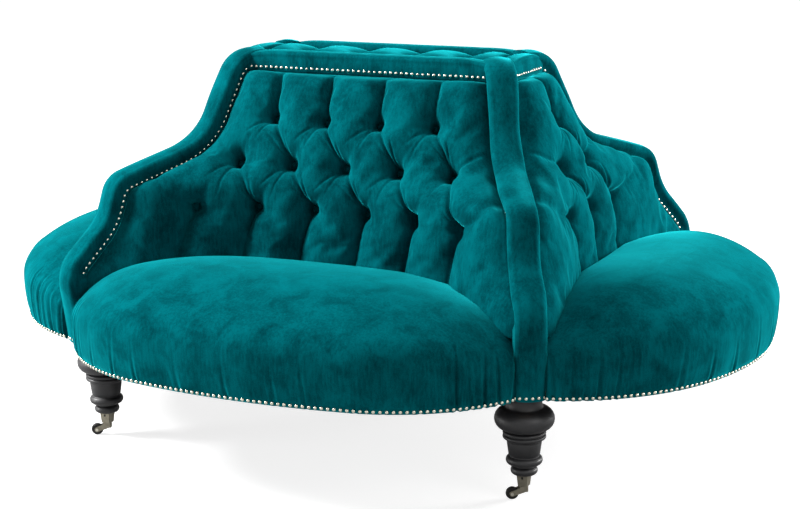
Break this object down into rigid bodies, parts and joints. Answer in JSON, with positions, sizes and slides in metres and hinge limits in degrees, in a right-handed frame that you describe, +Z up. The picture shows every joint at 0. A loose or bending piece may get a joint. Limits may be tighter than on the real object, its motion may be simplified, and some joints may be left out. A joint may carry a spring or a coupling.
{
  "type": "four-seat settee",
  "caption": "Free-standing buttoned velvet settee: seats face outward on every side of a central tower, parted by padded ogee wings, on turned legs with casters.",
  "frame": {"origin": "on the floor, under the middle of the tower", "axes": "+X along the longer side, +Z up, the picture's near long seat faces -Y"},
  "size_m": [2.0078, 1.668, 0.96],
  "materials": {
    "velvet": "velvet pile",
    "black_wood": "satin lacquer",
    "frame_wood": "planed",
    "brass": "antiqued",
    "wheel": "blackened",
    "steel": "plain",
    "webbing": "woven",
    "dust_cloth": "matt"
  },
  "bodies": {
    "settee": {"back_board_front": "frame_wood", "back_board_left": "frame_wood", "back_board_rear": "frame_wood", "back_board_right": "frame_wood", "back_buttons": "velvet", "back_pad_front": "velvet", "back_pad_left": "velvet", "back_pad_rear": "velvet", "back_pad_right": "velvet", "caster_cup_far_left": "brass", "caster_cup_far_right": "brass", "caster_cup_near_left": "brass", "caster_cup_near_right": "brass", "corner_block_far_left": "frame_wood", "corner_block_far_right": "frame_wood", "corner_block_near_left": "frame_wood", "corner_block_near_right": "frame_wood", "dust_cover": "dust_cloth", "inner_rail_front": "frame_wood", "inner_rail_left": "frame_wood", "inner_rail_rear": "frame_wood", "inner_rail_right": "frame_wood", "leg_bolts": "steel", "leg_far_left": "black_wood", "leg_far_right": "black_wood", "leg_near_left": "black_wood", "leg_near_right": "black_wood", "seat_cushion_front": "velvet", "seat_cushion_left": "velvet", "seat_cushion_rear": "velvet", "seat_cushion_right": "velvet", "seat_rail_front": "frame_wood", "seat_rail_left": "frame_wood", "seat_rail_rear": "frame_wood", "seat_rail_right": "frame_wood", "seat_webbing": "webbing", "top_board": "frame_wood", "top_border": "velvet", "top_pad": "velvet", "wing_board_far_left": "frame_wood", "wing_board_far_right": "frame_wood", "wing_board_near_left": "frame_wood", "wing_board_near_right": "frame_wood", "wing_roll_far_left": "velvet", "wing_roll_far_right": "velvet", "wing_roll_near_left": "velvet", "wing_roll_near_right": "velvet"},
    "fork_near_left": {"caster_fork_near_left": "brass", "caster_axle_near_left": "steel"},
    "wheel_near_left": {"caster_wheel_near_left": "wheel"},
    "fork_near_right": {"caster_fork_near_right": "brass", "caster_axle_near_right": "steel"},
    "wheel_near_right": {"caster_wheel_near_right": "wheel"},
    "fork_far_left": {"caster_fork_far_left": "brass", "caster_axle_far_left": "steel"},
    "wheel_far_left": {"caster_wheel_far_left": "wheel"},
    "fork_far_right": {"caster_fork_far_right": "brass", "caster_axle_far_right": "steel"},
    "wheel_far_right": {"caster_wheel_far_right": "wheel"}
  },
  "joints": [
    {"name": "swivel_near_left", "type": "hinge", "parent": "settee", "child": "fork_near_left", "pos_m": [-0.56615, -0.48789, 0.035], "axis": [0, 0, 1], "continuous": true},
    {"name": "roll_near_left", "type": "hinge", "parent": "fork_near_left", "child": "wheel_near_left", "pos_m": [-0.59062, -0.4993, 0.015], "axis": [0.4226, -0.9063, 0], "continuous": true},
    {"name": "swivel_near_right", "type": "hinge", "parent": "settee", "child": "fork_near_right", "pos_m": [0.56615, -0.48789, 0.035], "axis": [0, 0, 1], "continuous": true},
    {"name": "roll_near_right", "type": "hinge", "parent": "fork_near_right", "child": "wheel_near_right", "pos_m": [0.54168, -0.4993, 0.015], "axis": [0.4226, -0.9063, 0], "continuous": true},
    {"name": "swivel_far_left", "type": "hinge", "parent": "settee", "child": "fork_far_left", "pos_m": [-0.56615, 0.48789, 0.035], "axis": [0, 0, 1], "continuous": true},
    {"name": "roll_far_left", "type": "hinge", "parent": "fork_far_left", "child": "wheel_far_left", "pos_m": [-0.59062, 0.47648, 0.015], "axis": [0.4226, -0.9063, 0], "continuous": true},
    {"name": "swivel_far_right", "type": "hinge", "parent": "settee", "child": "fork_far_right", "pos_m": [0.56615, 0.48789, 0.035], "axis": [0, 0, 1], "continuous": true},
    {"name": "roll_far_right", "type": "hinge", "parent": "fork_far_right", "child": "wheel_far_right", "pos_m": [0.54168, 0.47648, 0.015], "axis": [0.4226, -0.9063, 0], "continuous": true}
  ]
}
